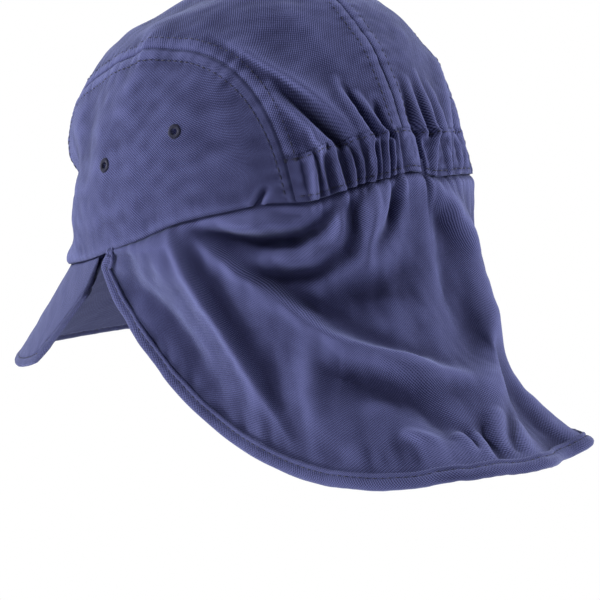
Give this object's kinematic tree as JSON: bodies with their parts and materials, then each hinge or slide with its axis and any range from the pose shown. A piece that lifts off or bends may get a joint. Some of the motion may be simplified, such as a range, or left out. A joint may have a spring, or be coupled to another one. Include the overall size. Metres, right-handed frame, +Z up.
{
  "type": "legionnaire cap",
  "caption": "Cotton twill sun cap with a panelled crown, an elastic casing at the back, a curved peak and a long neck flap with a bound hem.",
  "frame": {"origin": "centre of the head opening at the level of the crown's rim", "axes": "+Z up through the crown, -Y toward the front of the peak, +X toward the wearer's left"},
  "size_m": [0.1623, 0.3071, 0.2254],
  "materials": {
    "twill": "fine navy cotton twill, matt",
    "binding": "the same twill folded into a narrow binding",
    "peak_cloth": "navy twill over a stiff curved board",
    "thread": "dark navy stitching thread"
  },
  "bodies": {
    "root": {"side_panel_left": "twill", "side_panel_right": "twill", "centre_panel_left": "twill", "centre_panel_right": "twill", "elastic_casing": "twill", "neck_flap": "twill", "hem_binding": "binding", "peak": "peak_cloth", "eyelet_left_back": "thread", "eyelet_left_front": "thread", "eyelet_right_back": "thread", "eyelet_right_front": "thread"}
  },
  "joints": []
}
